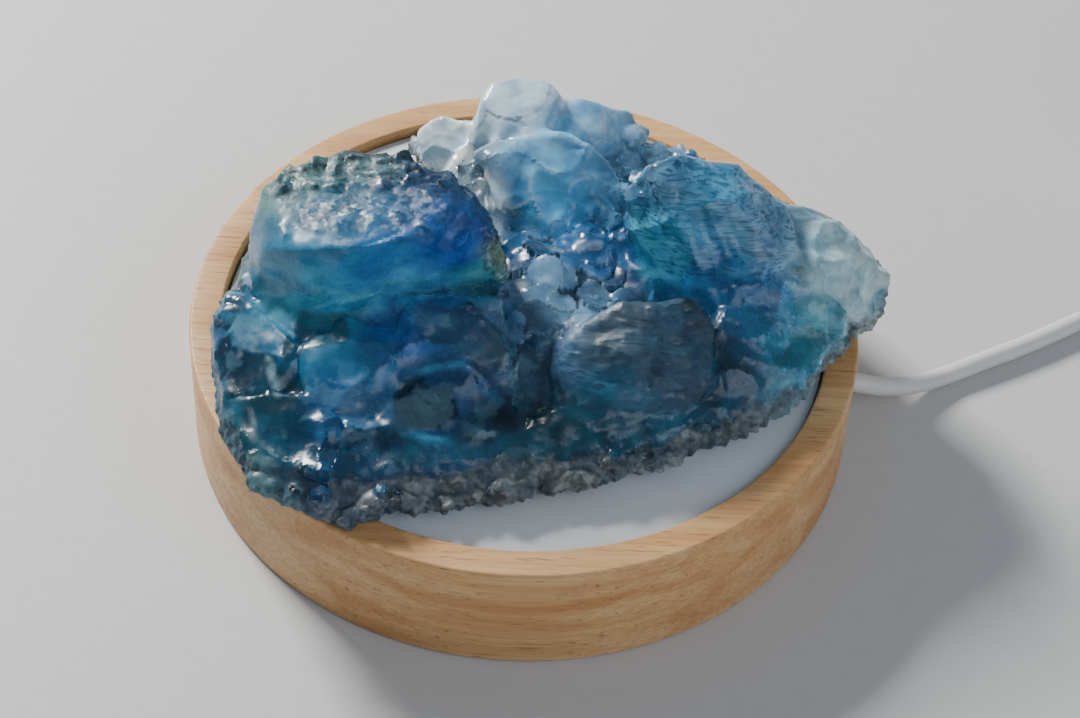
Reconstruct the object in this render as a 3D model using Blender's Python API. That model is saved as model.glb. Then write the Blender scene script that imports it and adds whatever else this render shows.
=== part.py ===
"""Fluorite ornament: a cluster of blue fluorite lying across the rim of a round wooden light base, with cord and plug.

Drawn in millimetres and built in metres, +Z up, with the origin at the centre of the base's underside.
"""

import math
import random

import bmesh
import bpy
from mathutils import Euler, Matrix, Vector

MM = 0.001
GAP = 0.3

# Wooden light base
BASE_R = 50.0
BASE_H = 19.5
BASE_EDGE = 0.4
RECESS_R = 45.2
LEDGE_R = 42.0
FLOOR_H = 4.0
BASE_SIDES = 60

# Opal diffuser, sunk a little below the rim
DIFFUSER_TOP = 18.0
DIFFUSER_H = 2.7
DIFFUSER_R = RECESS_R - GAP

# Light board under the diffuser
BOARD_R = 34.0
BOARD_H = 1.6
LED_COUNT = 8
LED_RING_R = 25.0
LED_SIZE = (3.5, 2.8, 0.9)

# Cord: a thin round low-voltage lead
CORD_D = 3.0
CORD_STEP = 6.0
CORD_HOLE_D = CORD_D + 2 * GAP
CORD_HOLE_Z = 6.5
CORD_HOLE_Y = 1.7
CORD_IN_X = 38.0
FLOOR_Z = CORD_D / 2 + 0.1

# Coil that holds the rest of the 1.5 m
COIL_X = 121.0
COIL_Y = 63.0
COIL_R = 18.0
COIL_PITCH = 1.05 * CORD_D
COIL_ROWS = 3
COIL_LAYERS = 4
COIL_SIDES = 32
COIL_IN = math.radians(-92.0)
COIL_OUT = math.radians(-104.0)

# Plug, lying flat beside the coil and pointing along +Y
PLUG_X = 152.5
PLUG_Y = 48.0
GRIP_W = 15.6
GRIP_T = 8.0
GRIP_L = 25.0
NOSE_L = 9.0
NOSE_D = 5.0
SHELL_W = 12.0
SHELL_T = 4.5
SHELL_L = 11.8
SHELL_WALL = 0.4
TONGUE_T = 1.7

# Fluorite: everything stands on the rim, FOOT above the table
FOOT = BASE_H + GAP
SEED = 5

# Each big crystal is the hull of its corners, in mm from the base's centre and up from the table
CRYSTALS = {
    "matrix_left": [
        (-45.5, -5, FOOT), (-43.4, -20, FOOT), (-41, -29, FOOT), (-36.8, -38, FOOT), (-31.8, -40.5, FOOT),
        (-25.8, -42.6, FOOT), (-16, -40.7, FOOT), (-4, -37.6, FOOT), (6, -35, FOOT), (10, 0, FOOT),
        (-4, 16, FOOT), (-20, 18, FOOT), (-36, 16, FOOT), (-43, 5, FOOT),
        (-44, -10, 26), (-39, -31, 25), (-33, -36, 25), (-22, -37.5, 25), (-8, -34.5, 25), (6, -31, 25.5),
        (8, -4, 29), (-6, 12, 29), (-20, 13, 30), (-35, 10, 30), (-41, 0, 29),
    ],
    "matrix_right": [
        (-14, -40, 20), (-4, -37.6, 20), (8, -34.6, 20), (20, -29.8, 20), (33, -22, 20), (40.4, -15.2, 20),
        (47, -4, 20), (51.5, 8, 20), (45, 20.5, 20), (26, 33.5, 20), (10, 38.5, 20), (-2, 37.5, 20), (-17, 32, 20),
        (-14, 10, 20),
        (-8, -30, 25.5), (6, -28, 26), (16, -26, 26), (27, -20, 26), (37, -10, 25.5), (45, 0, 24),
        (44, 14, 26), (24, 30.5, 26.5), (8, 34, 27), (-12, 28, 26), (-8, 0, 29), (10, -4, 29),
    ],
    "upper_left": [
        (-38.5, 0, 43), (-34.5, 2, 45), (-27, 5.5, 46), (-19, 4.5, 46), (-11, 0.5, 46), (-6.5, -2.5, 43.5),
        (-4.5, -5.5, 41), (-11, -6, 47), (-17, -12, 46), (-23.5, -13.5, 45), (-32, -12.5, 43),
        (-37.5, -9.5, 40), (-40, -5, 39), (-39.5, -9.5, 31), (-32, -13, 31), (-23.5, -11, 32),
        (-12.5, -8.5, 33), (-4, -7, 35), (-41, 6, 22), (-34, 14, 21), (-20, 16, 21), (-8, 10, 21), (-1, -4, 22),
    ],
    "lower_left": [
        (-40, -10.5, 30.5), (-32, -16.5, 31), (-23.5, -14, 33), (-15, -12, 34), (-3.5, -11, 33.5),
        (-2.5, -18, 30.5), (-3.5, -24.5, 27), (-42.5, -24, 24), (-41, -30, 22), (-37.5, -34.5, 22.5),
        (-30, -36.5, 24.5), (-23, -36, 25), (-13.5, -34.5, 25.5), (0, -30.5, 25.5), (-26, -38.5, 21),
        (-36, -38, 20.5), (-10.5, -36.5, 21), (0.5, -33.5, 21), (-40, -4, 22), (-4, -8, 22),
    ],
    "left_corner": [
        (-45.5, -11.5, 27), (-40.5, -10.5, 31), (-31.5, -20, 31.5), (-36, -26, 28), (-42, -25.5, 25.5),
        (-43, -23.5, 24), (-45.5, -11.5, 22), (-45.5, -6, 21), (-43, -26, 21), (-30, -12, 21), (-30, -30, 21),
    ],
    "left_front": [
        (-42, -25.5, 25), (-36.5, -26, 28), (-30, -27, 29), (-26, -31.5, 28), (-26.5, -38, 25),
        (-35.5, -36.5, 23.5), (-40.5, -31.5, 21.5), (-37.5, -34, 20.5), (-43, -28, 20.5), (-30, -20, 22),
        (-20, -24, 22),
    ],
    "left_shoulder": [
        (-31.5, -20, 31.5), (-29, -21.5, 32), (-25.5, -16, 33.5), (-18, -18, 33.5), (-21, -22, 32.5),
        (-20, -26, 30.5), (-24, -28.5, 28.5), (-29, -28, 29), (-34, -8, 22), (-14, -10, 22), (-30, -34, 22),
        (-14, -34, 22),
    ],
    "middle_ridge": [
        (-16, -14.5, 35), (-10, -14, 36.5), (-3.5, -18.5, 34), (-2, -20, 32.5), (-4, -23, 29),
        (-13.5, -23.5, 30.5), (-19, -24.5, 29.5), (-19.5, -21, 32), (-22, -8, 22), (-2, -6, 22), (0, -22, 22),
        (-24, -26, 22),
    ],
    "front_peak": [
        (-12, -22.5, 31.5), (-8, -22, 31.5), (-3.5, -25, 27.5), (-2.5, -28.5, 25.5), (-7.5, -34, 24.5),
        (-18.5, -35, 25), (-23.5, -32, 26.5), (-17.5, -27, 29), (-26, -36, 21), (2, -32, 21), (-18, -12, 22),
        (2, -14, 22),
    ],
    "valley": [
        (-4, 4, 32), (4.5, 4.5, 32), (15, 4.5, 32), (18, -5, 31), (5, -16, 30), (3, -27, 26), (-4.5, -25.5, 26),
        (-3.5, -13.5, 30), (-6, 14, 21), (20, 12, 21), (-8, -30, 21), (12, -30, 21),
    ],
    "front_middle": [
        (5, -18, 33), (8, -16.5, 34), (11, -15, 35), (13.5, -13, 36.5), (17.5, -14.5, 37), (20, -14.5, 36),
        (24.5, -11.5, 36), (26.5, -14, 34.5), (23.5, -20.5, 33), (16.5, -21, 34.5), (8, -20.5, 32),
        (5.5, -25, 28.5), (11, -28, 27), (22.5, -24.5, 27), (27, -19.5, 30), (2, -24, 21), (28, -22, 21),
        (24, -6, 21), (8, -4, 21), (8, -31, 21),
    ],
    "front_slope": [
        (1.5, -28, 27), (11, -25, 28.5), (25, -19, 29), (38.5, -12.5, 28), (44, -9, 26.5), (47.5, -4.5, 21),
        (40, -16, 24), (31, -22, 25), (14, -30, 25), (0.5, -33.5, 24.5), (14.5, -30.5, 20.5), (0.5, -35, 20.5),
        (31.5, -24, 20.5), (40.5, -15.5, 20.5), (0, -16, 21), (40, -2, 21),
    ],
    "right_block": [
        (17.5, 6, 46), (23, 8.5, 44.5), (27.5, 10, 42), (36.5, 8.5, 38), (39, 0, 33.5), (35.5, -1, 33),
        (34, 2, 38.5), (26.5, 1, 41), (31.5, -3.5, 36), (27.5, -9, 31.5), (17.5, 0, 35.5), (15, 6, 42),
        (14, 24, 21), (26, 30, 21), (40, 22, 21), (45, 4, 21), (30, -12, 21), (14, -6, 21),
    ],
    "right_lower": [
        (27.5, -9.5, 32), (31.5, -3.5, 36), (39, 0, 33.5), (42.5, -2.5, 30.5), (47, -5.5, 25.5),
        (40, -14.5, 26), (29.5, -20.5, 27), (27, -14.5, 31), (18, -18, 21), (28, -24, 21), (48, -6, 21),
        (46, 10, 21),
    ],
    "right_end": [
        (38, 9, 36), (41.5, 8, 35.5), (47.5, 6, 33), (51, 4.5, 30.5), (53.5, 3.5, 26.5), (53.5, 2.5, 24),
        (53, 0.5, 21), (48, -3, 20.5), (39, -3.5, 31), (38.5, -0.5, 34), (45, -0.5, 33), (49.5, -2.5, 26),
        (53, 14, 21), (46, 22, 21), (38, 26, 21), (40, 0, 21),
    ],
    "back_tall": [
        (-8.5, 23.5, 41), (-7, 27, 42), (-2.5, 28, 42.5), (2, 28, 42), (4, 25.5, 41), (1.5, 19, 40),
        (-5, 19, 39), (-9.5, 21, 36), (-8.5, 20, 32), (-10, 38, 21), (6, 40, 21), (8, 24, 21), (-10, 22, 21),
    ],
    "back_right": [
        (3.5, 27.5, 38), (6.5, 28.5, 38.5), (10.5, 28.5, 37.5), (14, 29.5, 35), (14.5, 29, 32), (10, 21.5, 36),
        (4, 20, 38), (13.5, 26, 30), (2, 40, 21), (16, 38, 21), (22, 26, 21), (4, 22, 21),
    ],
    "back_thin": [
        (10, 25, 33), (14, 27.5, 32), (19.5, 26, 30), (26.5, 28, 27), (19.5, 18.5, 30), (13.5, 13, 32),
        (12, 34, 21), (28, 32, 21), (32, 20, 21), (12, 16, 21),
    ],
    "back_centre": [
        (-6.5, 15.5, 36.5), (-3.5, 18, 38.5), (4, 18.5, 40.5), (8.5, 16.5, 39), (12.5, 15.5, 36.5),
        (10.5, 10.5, 34), (5.5, 5.5, 32), (-3, 5.5, 32), (-6, 11.5, 34), (-8, 30, 21), (16, 28, 21), (-6, 6, 21),
        (16, 6, 21),
    ],
    "back_left_plate": [
        (-17.5, 30, 29), (-14.5, 31.5, 30.5), (-10, 30.5, 31), (-9, 27, 29.5), (-13.5, 25, 26), (-16.5, 27, 25),
        (-18, 29.5, 26.5), (-20, 35, 21), (-6, 38, 21), (-6, 26, 21), (-14, 26, 21),
    ],
    "back_left_step": [
        (-9.5, 25.5, 31), (-6, 17.5, 31.5), (-7.5, 12.5, 30), (-14, 23.5, 27), (-15, 26, 21), (-2, 26, 21),
        (-2, 6, 21), (-14, 10, 21),
    ],
}

# Patches of small cubes on the surface: centre, half axes, spacing, cube edges, share sunk in, greatest tilt
DRUSES = {
    "upper_left_back": ((-22.0, 1.0), (15.5, 5.0), 2.6, (2.2, 3.0), 0.88, 30),
    "upper_left_front": ((-22.0, -8.5), (13.5, 3.5), 3.6, (2.4, 3.6), 0.95, 20),
    "valley_floor": ((4.0, -6.5), (8.0, 12.0), 4.1, (3.6, 5.6), 0.66, 14),
    "centre_nook": ((12.5, 9.0), (3.5, 7.0), 3.4, (2.5, 4.0), 0.6, 28),
    "left_edge": ((-42.0, -9.5), (3.0, 3.5), 2.6, (1.8, 2.8), 0.65, 26),
    "back_left_nook": ((-10.0, 16.0), (4.5, 6.5), 4.0, (2.5, 4.5), 0.55, 30),
    "back_slope": ((24.0, 25.0), (10.0, 6.0), 5.0, (2.5, 4.5), 0.68, 25),
    "left_back_slope": ((-30.0, 11.0), (9.0, 3.0), 4.5, (2.5, 4.0), 0.7, 25),
}

# Broken lumps along the lower edge, where the matrix shows under the crystals
SKIRT_STEP = 2.3
SKIRT_LUMP = (2.6, 4.4)
SKIRT_INWARD = (0.938, 0.976)
SKIRT_Z = (0.8, 4.0)
SKIRT = [
    (-46.5, -5), (-44.5, -20), (-42, -29.5), (-37.5, -39), (-32, -41.3), (-26, -44), (-16, -41.6),
    (-4, -38.5), (8, -35.6), (20.5, -30.7), (33.5, -23), (41, -15.5), (47.5, -4), (51.5, 8), (45, 20.5),
    (26, 33.5), (10, 38.5), (-2, 37.5), (-16, 33), (-13.5, 20), (-20, 17.5), (-35.5, 15.5), (-43, 4),
]


def clear_scene():
    for item in list(bpy.data.objects):
        bpy.data.objects.remove(item)


def material(name, colour, roughness, metallic=0.0, transmission=0.0, ior=1.5):
    made = bpy.data.materials.new(name)
    made.use_nodes = True
    shader = made.node_tree.nodes["Principled BSDF"]
    shader.inputs["Base Color"].default_value = (*colour, 1.0)
    shader.inputs["Roughness"].default_value = roughness
    shader.inputs["Metallic"].default_value = metallic
    shader.inputs["Transmission Weight"].default_value = transmission
    shader.inputs["IOR"].default_value = ior
    return made


def add_object(name, bm, finish=None, smooth=True):
    """A named object from a bmesh drawn in millimetres."""
    bmesh.ops.scale(bm, vec=(MM, MM, MM), verts=bm.verts)
    bmesh.ops.recalc_face_normals(bm, faces=bm.faces)
    mesh = bpy.data.meshes.new(name)
    bm.to_mesh(mesh)
    bm.free()
    if smooth:
        mesh.shade_smooth()
        mesh.set_sharp_from_angle(angle=math.radians(35))
    if finish:
        mesh.materials.append(finish)
    made = bpy.data.objects.new(name, mesh)
    bpy.context.scene.collection.objects.link(made)
    return made


def hide(made):
    """A cutter or guide, left out of the model."""
    made.hide_render = True
    made.display_type = "WIRE"
    return made


def turned(profile, sides):
    """A bmesh turned round Z from (radius, height) points, which start and end on the axis or close on themselves."""
    bm = bmesh.new()
    rings = []
    for r, z in profile:
        if r == 0:
            rings.append([bm.verts.new((0, 0, z))])
            continue
        turn = 2 * math.pi / sides
        rings.append([bm.verts.new((r * math.cos(i * turn), r * math.sin(i * turn), z)) for i in range(sides)])
    pairs = list(zip(rings, rings[1:]))
    if len(rings[0]) > 1:
        pairs.append((rings[-1], rings[0]))
    for low, high in pairs:
        for i in range(sides):
            j = (i + 1) % sides
            if len(low) == 1:
                bm.faces.new((low[0], high[j], high[i]))
            elif len(high) == 1:
                bm.faces.new((low[i], low[j], high[0]))
            else:
                bm.faces.new((low[i], low[j], high[j], high[i]))
    return bm


def box(size, centre):
    """A bmesh box of this size about this centre."""
    bm = bmesh.new()
    bmesh.ops.create_cube(bm, size=1.0, matrix=Matrix.Translation(centre) @ Matrix.Diagonal((*size, 1.0)))
    return bm


def boolean(made, other, operation):
    modifier = made.modifiers.new(operation.lower(), "BOOLEAN")
    modifier.operation = operation
    modifier.solver = "EXACT"
    if isinstance(other, bpy.types.Collection):
        modifier.operand_type = "COLLECTION"
        modifier.collection = other
    else:
        modifier.object = other
    return modifier


def build_base():
    """The turned wooden dish, with a ledge for the diffuser and a hole for the cord."""
    profile = [
        (0, 0), (BASE_R - BASE_EDGE, 0), (BASE_R, BASE_EDGE), (BASE_R, BASE_H - BASE_EDGE),
        (BASE_R - BASE_EDGE, BASE_H), (RECESS_R + BASE_EDGE, BASE_H), (RECESS_R, BASE_H - BASE_EDGE),
        (RECESS_R, DIFFUSER_TOP - DIFFUSER_H - GAP), (LEDGE_R, DIFFUSER_TOP - DIFFUSER_H - GAP),
        (LEDGE_R, FLOOR_H), (0, FLOOR_H),
    ]
    wood = material("turned_beech", (0.62, 0.42, 0.25), 0.55)
    base = add_object("wood_base", turned(profile, BASE_SIDES), wood)
    bm = bmesh.new()
    bmesh.ops.create_cone(
        bm, segments=16, radius1=CORD_HOLE_D / 2, radius2=CORD_HOLE_D / 2, depth=20, cap_ends=True,
        matrix=Matrix.Translation((BASE_R - 4, CORD_HOLE_Y, CORD_HOLE_Z)) @ Matrix.Rotation(math.pi / 2, 4, "Y"),
    )
    boolean(base, hide(add_object("cord_hole", bm)), "DIFFERENCE")


def build_light():
    """The opal disc and the board with its light chips."""
    low = DIFFUSER_TOP - DIFFUSER_H
    profile = [(0, low), (DIFFUSER_R, low), (DIFFUSER_R, DIFFUSER_TOP - 0.2), (DIFFUSER_R - 0.2, DIFFUSER_TOP)]
    opal = material("opal_acrylic", (0.85, 0.87, 0.9), 0.35, transmission=0.3)
    add_object("diffuser", turned(profile + [(0, DIFFUSER_TOP)], BASE_SIDES), opal)
    board_low = FLOOR_H + GAP
    profile = [(0, board_low), (BOARD_R, board_low), (BOARD_R, board_low + BOARD_H), (0, board_low + BOARD_H)]
    add_object("light_board", turned(profile, 40), material("white_board", (0.8, 0.8, 0.78), 0.6))
    chip = material("light_chip", (0.85, 0.75, 0.3), 0.4)
    z = board_low + BOARD_H + GAP + LED_SIZE[2] / 2
    for i in range(LED_COUNT):
        angle = 2 * math.pi * i / LED_COUNT
        led = add_object(f"light_chip_{i + 1}", box(LED_SIZE, (0, 0, 0)), chip, smooth=False)
        led.location = (LED_RING_R * math.cos(angle) * MM, LED_RING_R * math.sin(angle) * MM, z * MM)
        led.rotation_euler = (0, 0, angle)


def hull(points):
    """The convex hull of some points, as a bmesh with nothing inside it."""
    bm = bmesh.new()
    for point in points:
        bm.verts.new(point)
    found = bmesh.ops.convex_hull(bm, input=bm.verts)
    spare = {v for v in found["geom_interior"] + found["geom_unused"] if isinstance(v, bmesh.types.BMVert)}
    bmesh.ops.delete(bm, geom=list(spare), context="VERTS")
    bmesh.ops.recalc_face_normals(bm, faces=bm.faces)
    return bm


def face_planes(points):
    """The hull's faces as (outward normal, a point on it)."""
    bm = hull(points)
    bm.normal_update()
    planes = [(face.normal.copy(), face.verts[0].co.copy()) for face in bm.faces]
    bm.free()
    return planes


def top_of(planes, x, y):
    """Where the upright line through (x, y) leaves a hull at the top, or None where it misses the hull."""
    high, low = math.inf, -math.inf
    for normal, point in planes:
        reach = normal.dot(point) - normal.x * x - normal.y * y
        if abs(normal.z) < 1e-6:
            if reach < 0:
                return None
            continue
        if normal.z > 0:
            high = min(high, reach / normal.z)
        else:
            low = max(low, reach / normal.z)
    return high if high > low else None


def cube(centre, edge, tilt, rng):
    """Corners of a slightly uneven cube, turned at random about Z and tilted by up to this many degrees."""
    lean = Euler([math.radians(rng.uniform(-tilt, tilt)) for _ in range(2)] + [rng.uniform(0, math.pi / 2)])
    half = [edge / 2 * rng.uniform(0.8, 1.15) for _ in range(3)]
    signs = [(a, b, c) for a in (-1, 1) for b in (-1, 1) for c in (-1, 1)]
    turn = lean.to_matrix()
    return [Vector(centre) + turn @ Vector((a * half[0], b * half[1], c * half[2])) for a, b, c in signs]


def druse_cubes(planes, rng):
    """Small cubes on a jittered grid over each patch, sunk into the surface under them."""
    cubes = []
    for (cx, cy), (ax, ay), step, edges, sunk, tilt in DRUSES.values():
        for i in range(-int(ax / step), int(ax / step) + 1):
            for j in range(-int(ay / step), int(ay / step) + 1):
                x = cx + step * (i + rng.uniform(-0.32, 0.32))
                y = cy + step * (j + rng.uniform(-0.32, 0.32))
                edge = rng.uniform(*edges)
                tops = [t for t in (top_of(p, x, y) for p in planes) if t is not None]
                if tops and max(tops) > FOOT + edge and ((x - cx) / ax) ** 2 + ((y - cy) / ay) ** 2 < 1.1:
                    cubes.append(cube((x, y, max(tops) + edge * (0.5 - sunk)), edge, tilt, rng))
    return cubes


def lump(centre, size, rng):
    """Corners of a broken lump: points towards a cube's faces and half its corners, unevenly far, turned any way."""
    turn = Euler([rng.uniform(0, math.pi) for _ in range(3)]).to_matrix()
    ways = [(1, 0, 0), (0, 1, 0), (0, 0, 1), (-1, 0, 0), (0, -1, 0), (0, 0, -1)]
    ways += [(1, 1, 1), (-1, -1, 1), (-1, 1, -1), (1, -1, -1)]
    return [Vector(centre) + turn @ (Vector(way).normalized() * size * rng.uniform(0.4, 0.56)) for way in ways]


def skirt_lumps(rng):
    """Lumps at even steps along the lower edge, each kept above the rim."""
    lumps = []
    for (x0, y0), (x1, y1) in zip(SKIRT, SKIRT[1:] + SKIRT[:1]):
        count = max(1, round(math.hypot(x1 - x0, y1 - y0) / SKIRT_STEP))
        for i in range(count):
            t = (i + rng.uniform(0.15, 0.85)) / count
            up = rng.uniform(0, 1)
            inward = SKIRT_INWARD[1] + (SKIRT_INWARD[0] - SKIRT_INWARD[1]) * up
            z = FOOT + SKIRT_Z[0] + (SKIRT_Z[1] - SKIRT_Z[0]) * up
            middle = (inward * (x0 + (x1 - x0) * t), inward * (y0 + (y1 - y0) * t), z)
            corners = lump(middle, rng.uniform(*SKIRT_LUMP), rng)
            lift = max(0.0, FOOT + 0.1 - min(corner.z for corner in corners))
            lumps.append([corner + Vector((0, 0, lift)) for corner in corners])
    return lumps


def build_fluorite():
    """All crystals, big and small, grown into one solid."""
    rng = random.Random(SEED)
    planes = [face_planes(points) for points in CRYSTALS.values()]
    small = druse_cubes(planes, rng) + skirt_lumps(rng)
    stone = material("fluorite", (0.03, 0.22, 0.42), 0.15, transmission=0.8, ior=1.434)
    grown = bpy.data.collections.new("grown_together")
    bpy.context.scene.collection.children.link(grown)
    cluster = None
    for i, points in enumerate(list(CRYSTALS.values()) + small):
        if cluster is None:
            cluster = add_object("fluorite_cluster", hull(points), stone, smooth=False)
            continue
        crystal = hide(add_object(f"crystal_{i}", hull(points), smooth=False))
        bpy.context.scene.collection.objects.unlink(crystal)
        grown.objects.link(crystal)
    boolean(cluster, grown, "UNION")


def smooth_route(points, step):
    """Points at even steps along the Catmull-Rom curve through these, the first and last included."""
    ends = [points[0] * 2 - points[1]] + points + [points[-1] * 2 - points[-2]]
    dense = []
    for a, b, c, d in zip(ends, ends[1:], ends[2:], ends[3:]):
        for i in range(24):
            t = i / 24
            dense.append(
                (b * 2 + (c - a) * t + (a * 2 - b * 5 + c * 4 - d) * t**2 + (b * 3 - a - c * 3 + d) * t**3) / 2
            )
    dense.append(points[-1])
    lengths = [0.0]
    for a, b in zip(dense, dense[1:]):
        lengths.append(lengths[-1] + (b - a).length)
    count = max(2, round(lengths[-1] / step))
    even = []
    k = 0
    for i in range(count + 1):
        goal = lengths[-1] * i / count
        while k < len(dense) - 2 and lengths[k + 1] < goal:
            k += 1
        even.append(dense[k].lerp(dense[k + 1], (goal - lengths[k]) / (lengths[k + 1] - lengths[k])))
    return even


def tube(name, points, finish):
    curve = bpy.data.curves.new(name, "CURVE")
    curve.dimensions = "3D"
    curve.bevel_depth = CORD_D / 2 * MM
    curve.bevel_resolution = 2
    curve.use_fill_caps = True
    spline = curve.splines.new("POLY")
    spline.points.add(len(points) - 1)
    for target, point in zip(spline.points, points):
        target.co = (*(point * MM), 1.0)
    curve.materials.append(finish)
    made = bpy.data.objects.new(name, curve)
    bpy.context.scene.collection.objects.link(made)


def by_coil(angle, radius, z):
    """A point at this angle and distance from the coil's axis."""
    return Vector((COIL_X + radius * math.cos(angle), COIL_Y + radius * math.sin(angle), z))


def lead_route():
    """From inside the base, through the hole, down to the table and along it to the coil."""
    touch = COIL_R + COIL_PITCH * COIL_ROWS / 2 + GAP + CORD_D / 2
    return [
        Vector((CORD_IN_X, CORD_HOLE_Y, CORD_HOLE_Z)), Vector((BASE_R - 5, CORD_HOLE_Y, CORD_HOLE_Z)),
        Vector((BASE_R + 1, CORD_HOLE_Y, CORD_HOLE_Z)), Vector((55.5, 2.6, 5.0)), Vector((60.5, 5.2, 2.9)),
        Vector((66.0, 8.6, FLOOR_Z)), Vector((72.5, 12.3, FLOOR_Z)), Vector((80.8, 17.0, FLOOR_Z)),
        Vector((89.5, 22.6, FLOOR_Z)), Vector((99.5, 28.6, FLOOR_Z)), Vector((110.0, 34.0, FLOOR_Z)),
        by_coil(COIL_IN, touch, FLOOR_Z),
    ]


def tail_route():
    """From the coil's top turn, down beside it and into the plug."""
    touch = COIL_R + COIL_PITCH * COIL_ROWS / 2 + GAP + CORD_D / 2
    top = FLOOR_Z + COIL_PITCH * (COIL_LAYERS - 1)
    return [
        by_coil(COIL_OUT, touch, top - 0.3), by_coil(math.radians(-86), touch + 1.1, top - 1.6),
        Vector((PLUG_X - 20, PLUG_Y - 12.5, 7.6)), Vector((PLUG_X - 10, PLUG_Y - 12.0, 5.6)),
        Vector((PLUG_X - 5, PLUG_Y - 10.7, 4.9)), Vector((PLUG_X - 1.3, PLUG_Y - 7.0, 4.4)),
        Vector((PLUG_X, PLUG_Y - 2.5, GRIP_T / 2 + 0.1)), Vector((PLUG_X, PLUG_Y - GAP - 0.1, GRIP_T / 2 + 0.1)),
    ]


def build_cord():
    pvc = material("white_cord", (0.8, 0.8, 0.8), 0.4)
    tube("cord_lead", smooth_route(lead_route(), CORD_STEP), pvc)
    tube("cord_tail", smooth_route(tail_route(), CORD_STEP), pvc)
    inner = COIL_R - COIL_PITCH * COIL_ROWS / 2
    outer = COIL_R + COIL_PITCH * COIL_ROWS / 2
    top = 0.1 + COIL_PITCH * COIL_LAYERS
    round_by = CORD_D / 2
    profile = [
        (inner + round_by / 2, 0.1), (outer - round_by / 2, 0.1), (outer, round_by), (outer, top - round_by),
        (outer - round_by, top), (inner + round_by, top), (inner, top - round_by), (inner, round_by),
    ]
    coil = add_object("cord_coil", turned(profile, COIL_SIDES), pvc)
    coil.location = (COIL_X * MM, COIL_Y * MM, 0)


def loft_y(sections):
    """Rounded-rectangle sections (y, half width, half thickness, corner radius) joined along Y, with closed ends."""
    bm = bmesh.new()
    rings = []
    for y, half_w, half_t, corner in sections:
        ring = []
        for quarter, (sx, sz) in enumerate(((1, 1), (-1, 1), (-1, -1), (1, -1))):
            for k in range(4):
                angle = math.pi / 2 * (quarter + k / 3)
                x = sx * (half_w - corner) + corner * math.cos(angle)
                z = sz * (half_t - corner) + corner * math.sin(angle)
                ring.append(bm.verts.new((x, y, z)))
        rings.append(ring)
    for low, high in zip(rings, rings[1:]):
        for i in range(len(low)):
            j = (i + 1) % len(low)
            bm.faces.new((low[i], low[j], high[j], high[i]))
    bm.faces.new(rings[0])
    bm.faces.new(rings[-1])
    return bm


def place_at_plug(made, along):
    made.location = (PLUG_X * MM, (PLUG_Y + along) * MM, (GRIP_T / 2 + 0.1) * MM)


def build_plug():
    """A flat moulded grip with a tapered nose, its metal shell and the tongue inside."""
    nose = NOSE_D / 2
    w, t = GRIP_W / 2, GRIP_T / 2
    sections = [
        (0, nose - 0.3, nose - 0.3, nose - 0.31), (0.5, nose, nose, nose - 0.01),
        (NOSE_L - 1.5, nose + 0.5, nose + 0.4, nose), (NOSE_L, nose + 1.6, nose + 0.7, 2.2),
        (NOSE_L + 2.5, w - 0.6, t - 0.3, 2.4), (NOSE_L + 5, w, t, 1.8),
        (NOSE_L + GRIP_L - 1, w, t, 1.4), (NOSE_L + GRIP_L, w - 0.8, t - 0.8, 1.2),
    ]
    grip = add_object("plug_grip", loft_y(sections), material("white_plug", (0.82, 0.82, 0.82), 0.35))
    place_at_plug(grip, 0)

    start = NOSE_L + GRIP_L + GAP
    steel = material("plated_shell", (0.7, 0.7, 0.72), 0.25, metallic=1.0)
    shell = add_object("plug_shell", box((SHELL_W, SHELL_L, SHELL_T), (0, SHELL_L / 2, 0)), steel, smooth=False)
    place_at_plug(shell, start)
    inside = (SHELL_W - 2 * SHELL_WALL, SHELL_L, SHELL_T - 2 * SHELL_WALL)
    cutters = [("shell_inside", box(inside, (0, SHELL_L / 2 + SHELL_WALL, 0)))]
    for i, side in enumerate((-1, 1)):
        cutters.append((f"shell_window_{i + 1}", box((2.4, 2.2, SHELL_T + 2), (side * 2.9, SHELL_L * 0.48, 0))))
    for name, bm in cutters:
        cutter = hide(add_object(name, bm, smooth=False))
        place_at_plug(cutter, start)
        boolean(shell, cutter, "DIFFERENCE")

    inner_t = SHELL_T - 2 * SHELL_WALL
    size = (inside[0] - 2 * GAP, SHELL_L - SHELL_WALL - GAP - 0.4, TONGUE_T)
    middle = (0, SHELL_WALL + GAP + size[1] / 2, GAP + TONGUE_T / 2 - inner_t / 2)
    tongue = add_object("plug_tongue", box(size, middle), material("plug_insert", (0.75, 0.75, 0.75), 0.5), smooth=False)
    place_at_plug(tongue, start)


def main():
    clear_scene()
    build_base()
    build_light()
    build_fluorite()
    build_cord()
    build_plug()


main()
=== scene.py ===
"""Looks of the fluorite ornament: a blue cluster that lies on the rim of a round beech light base.

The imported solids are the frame. Shapes are drawn in millimetres and put into their meshes in metres, +Z up.
"""

import math

import bmesh
import bpy
import numpy as np
from mathutils import Matrix, Vector


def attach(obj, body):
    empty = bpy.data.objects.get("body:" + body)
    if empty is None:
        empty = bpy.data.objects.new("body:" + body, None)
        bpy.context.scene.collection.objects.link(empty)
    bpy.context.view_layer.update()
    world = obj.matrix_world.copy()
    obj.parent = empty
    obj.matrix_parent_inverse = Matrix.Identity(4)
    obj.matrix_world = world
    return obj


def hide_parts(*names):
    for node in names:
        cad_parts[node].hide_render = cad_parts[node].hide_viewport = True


MM = 0.001

# Camera: place in mm, then degrees down, to the right and rolled, then the lens and its sensor's width
CAMERA_AT = (0.0, -273.7, 298.9)
CAMERA_DOWN, CAMERA_RIGHT, CAMERA_ROLL = 46.531, 0.541, 3.189
CAMERA_LENS, SENSOR_WIDE = 87.05, 36

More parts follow.
